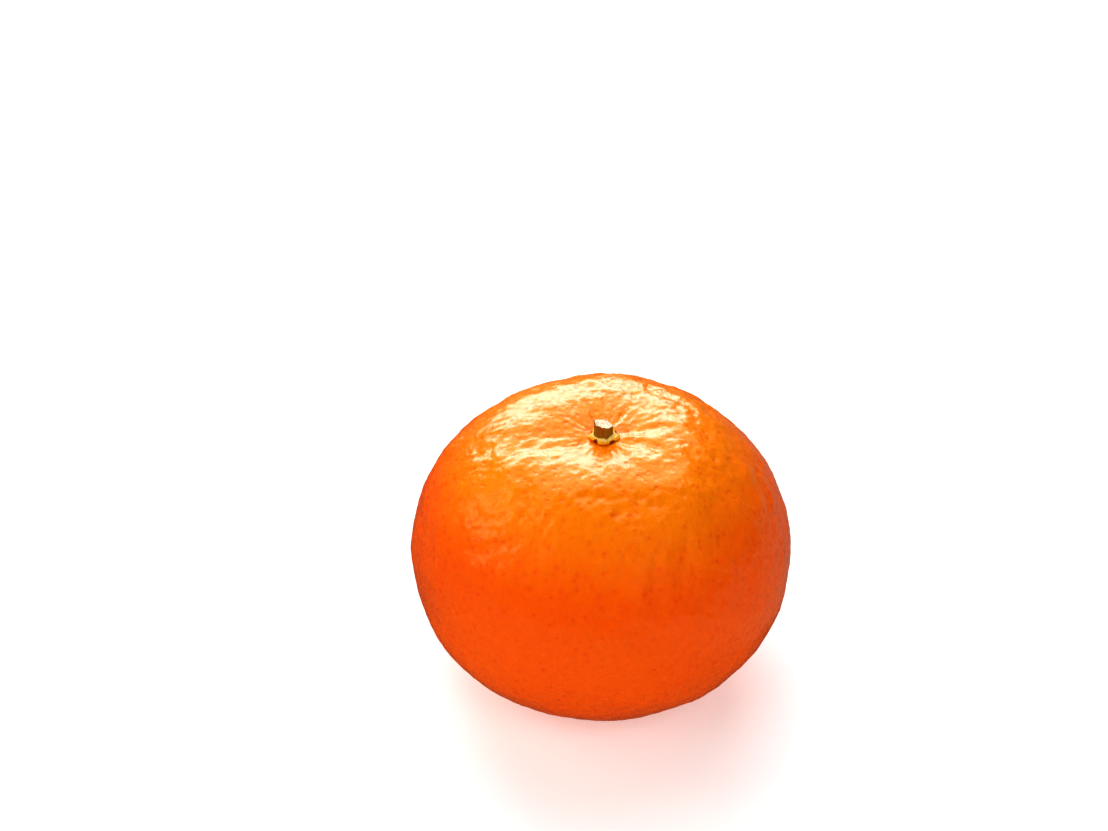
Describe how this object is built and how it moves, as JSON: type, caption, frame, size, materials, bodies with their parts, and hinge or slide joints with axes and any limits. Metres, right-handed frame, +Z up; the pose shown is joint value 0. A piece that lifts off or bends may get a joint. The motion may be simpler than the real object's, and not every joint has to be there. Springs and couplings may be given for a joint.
{
  "type": "mandarin",
  "caption": "Whole flattened-round orange citrus fruit with a small lobed calyx and a short cut stalk stub, resting upright on its base.",
  "frame": {"origin": "on the surface that the fruit rests on, under the middle of the fruit", "axes": "+Z up along the fruit's axis, from the stylar end that it rests on to the stalk; -Y faces the viewer in the pictured view"},
  "size_m": [0.0641, 0.0638, 0.0501],
  "materials": {
    "peel": "satin waxy citrus peel with fine oil-gland pits",
    "calyx": "dry matt yellow-green with brown edges",
    "stalk": "matt brown bark with a pale fibrous cut end"
  },
  "bodies": {
    "root": {"fruit": "peel", "calyx": "calyx", "stem_stub": "stalk"}
  },
  "joints": []
}
